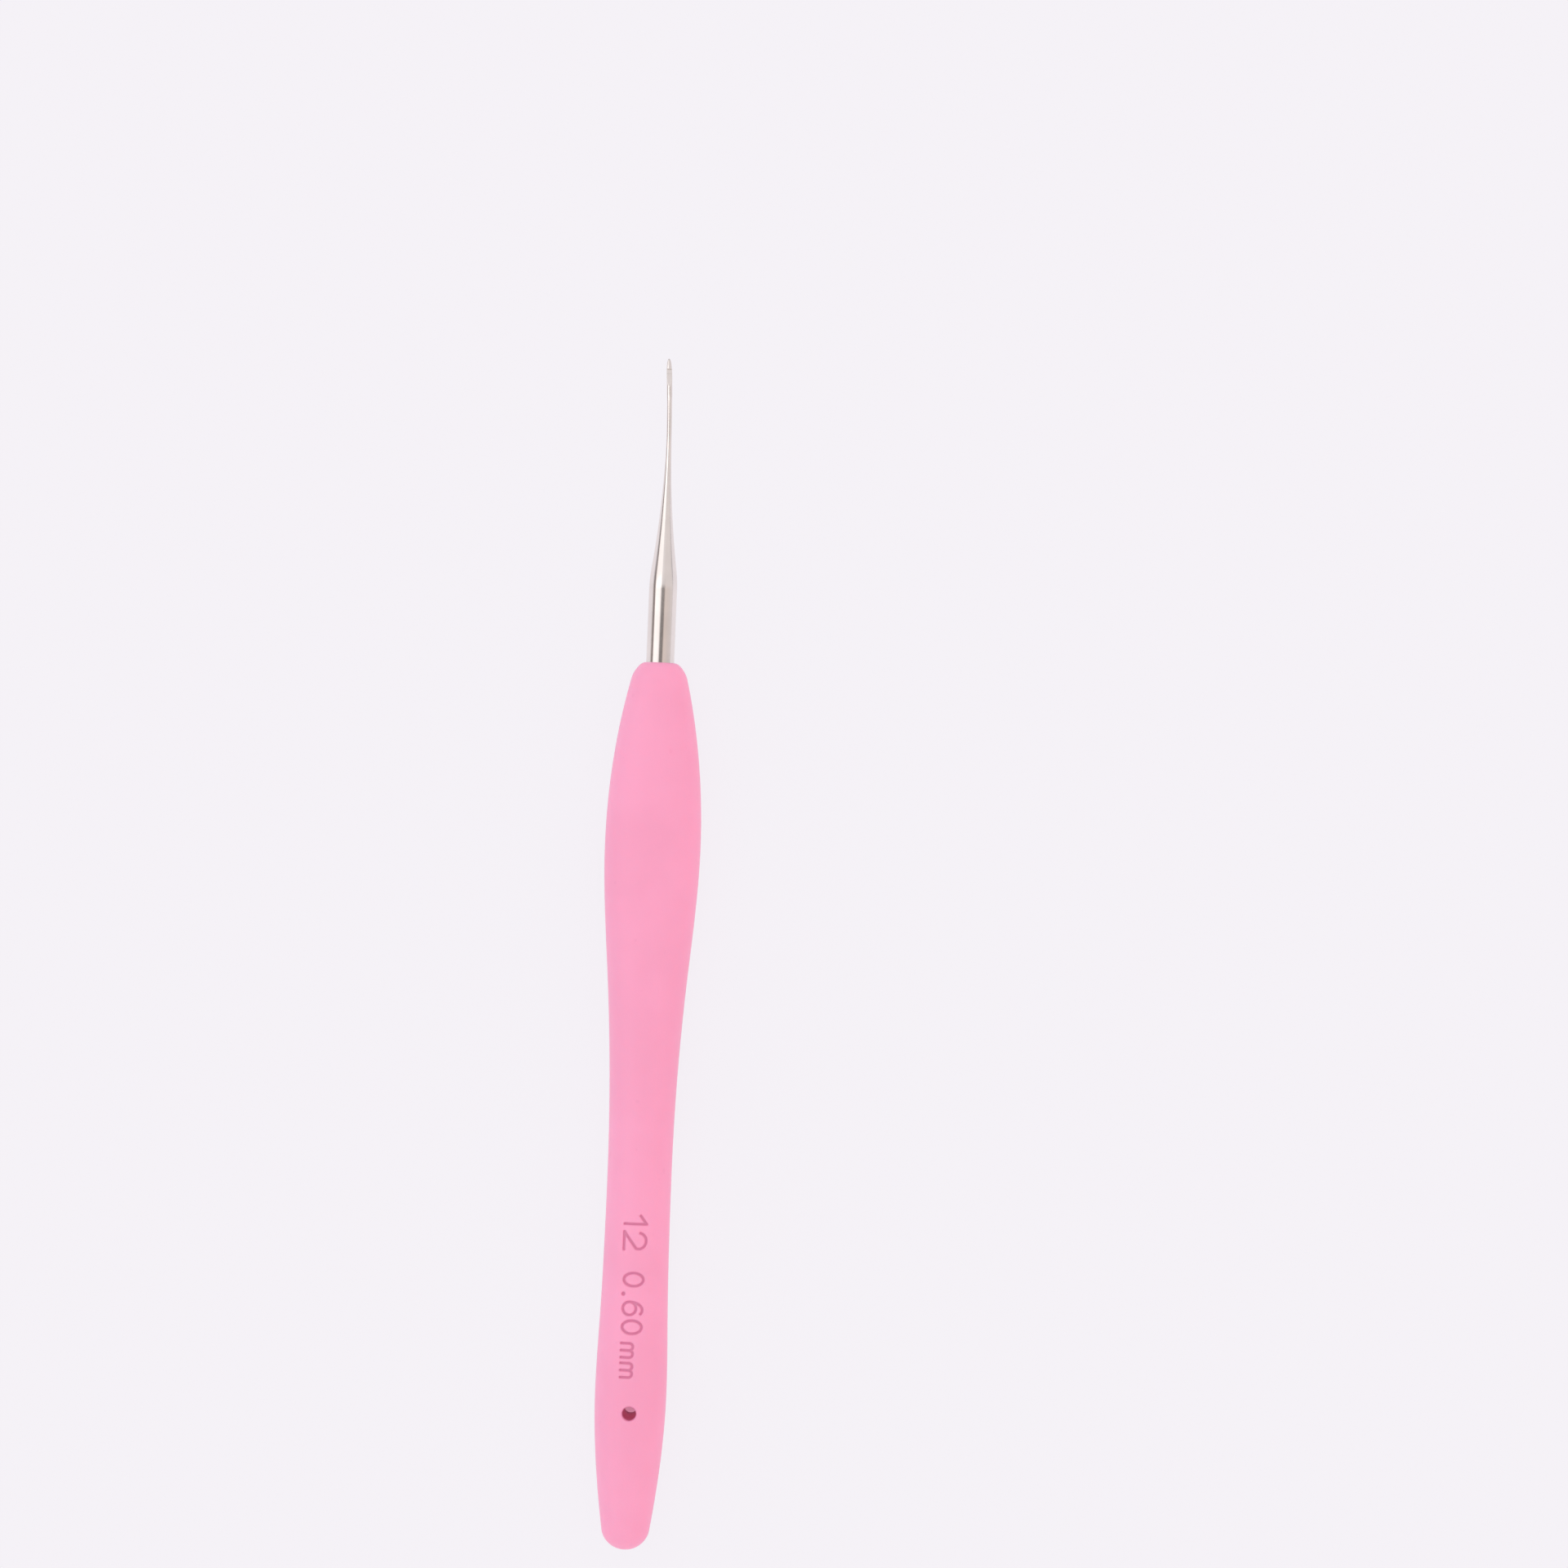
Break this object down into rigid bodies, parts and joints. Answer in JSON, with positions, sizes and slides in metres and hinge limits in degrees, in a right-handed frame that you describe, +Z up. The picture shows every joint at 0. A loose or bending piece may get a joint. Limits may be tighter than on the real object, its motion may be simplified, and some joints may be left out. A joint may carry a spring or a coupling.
{
  "type": "crochet hook",
  "caption": "Fine steel crochet hook: tapered needle with a hooked tip, in a soft moulded handle with a hanging hole in its tail.",
  "frame": {"origin": "on the surface the hook lies on, under the middle of its length", "axes": "+X along the needle towards the hook's tip, +Z up through the marked side"},
  "size_m": [0.14, 0.0112, 0.0078],
  "materials": {
    "plated_steel": "polished nickel plate over steel",
    "core_plastic": "moulded natural ABS, hidden",
    "soft_cover": "soft-touch elastomer, fine satin mould finish"
  },
  "bodies": {
    "root": {"hook_needle": "plated_steel", "handle_core": "core_plastic", "grip_cover": "soft_cover"}
  },
  "joints": []
}
